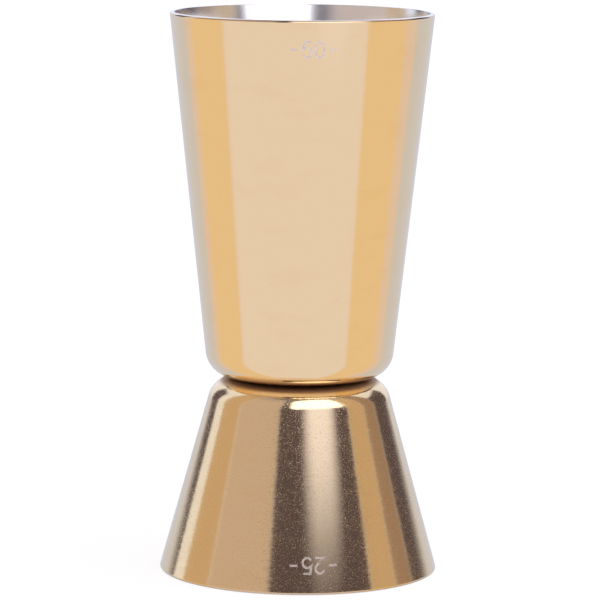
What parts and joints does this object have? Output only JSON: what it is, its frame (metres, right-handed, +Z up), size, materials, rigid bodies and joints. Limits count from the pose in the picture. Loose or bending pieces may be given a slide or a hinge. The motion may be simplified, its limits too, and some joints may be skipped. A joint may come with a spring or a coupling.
{
  "type": "bar jigger",
  "caption": "Double-ended bar measure: a tall tapered cup joined base to base with a shorter, wider cup, gold-coloured outside and bare steel inside.",
  "frame": {"origin": "centre of the rim that the jigger stands on, the small cup's, in the plane of that rim", "axes": "+Z up along the common axis of both cups, towards the large cup's mouth; +Y is the side of the first spot weld; the front, seen along +Y, carries the capacity marks"},
  "size_m": [0.0434, 0.0434, 0.0874],
  "materials": {
    "gold_coat": "stainless steel, turned and polished, with a thin vapour-deposited gold-coloured coat; bare neutral steel on the inside of the cup",
    "weld_steel": "resistance-weld nugget, dull grey steel with a heat tint at its edge",
    "etched_mark": "laser-etched through the gold coat to matt pale steel"
  },
  "bodies": {
    "root": {"small_cup": "gold_coat", "large_cup": "gold_coat", "spot_weld_1": "weld_steel", "spot_weld_2": "weld_steel", "spot_weld_3": "weld_steel"}
  },
  "joints": []
}
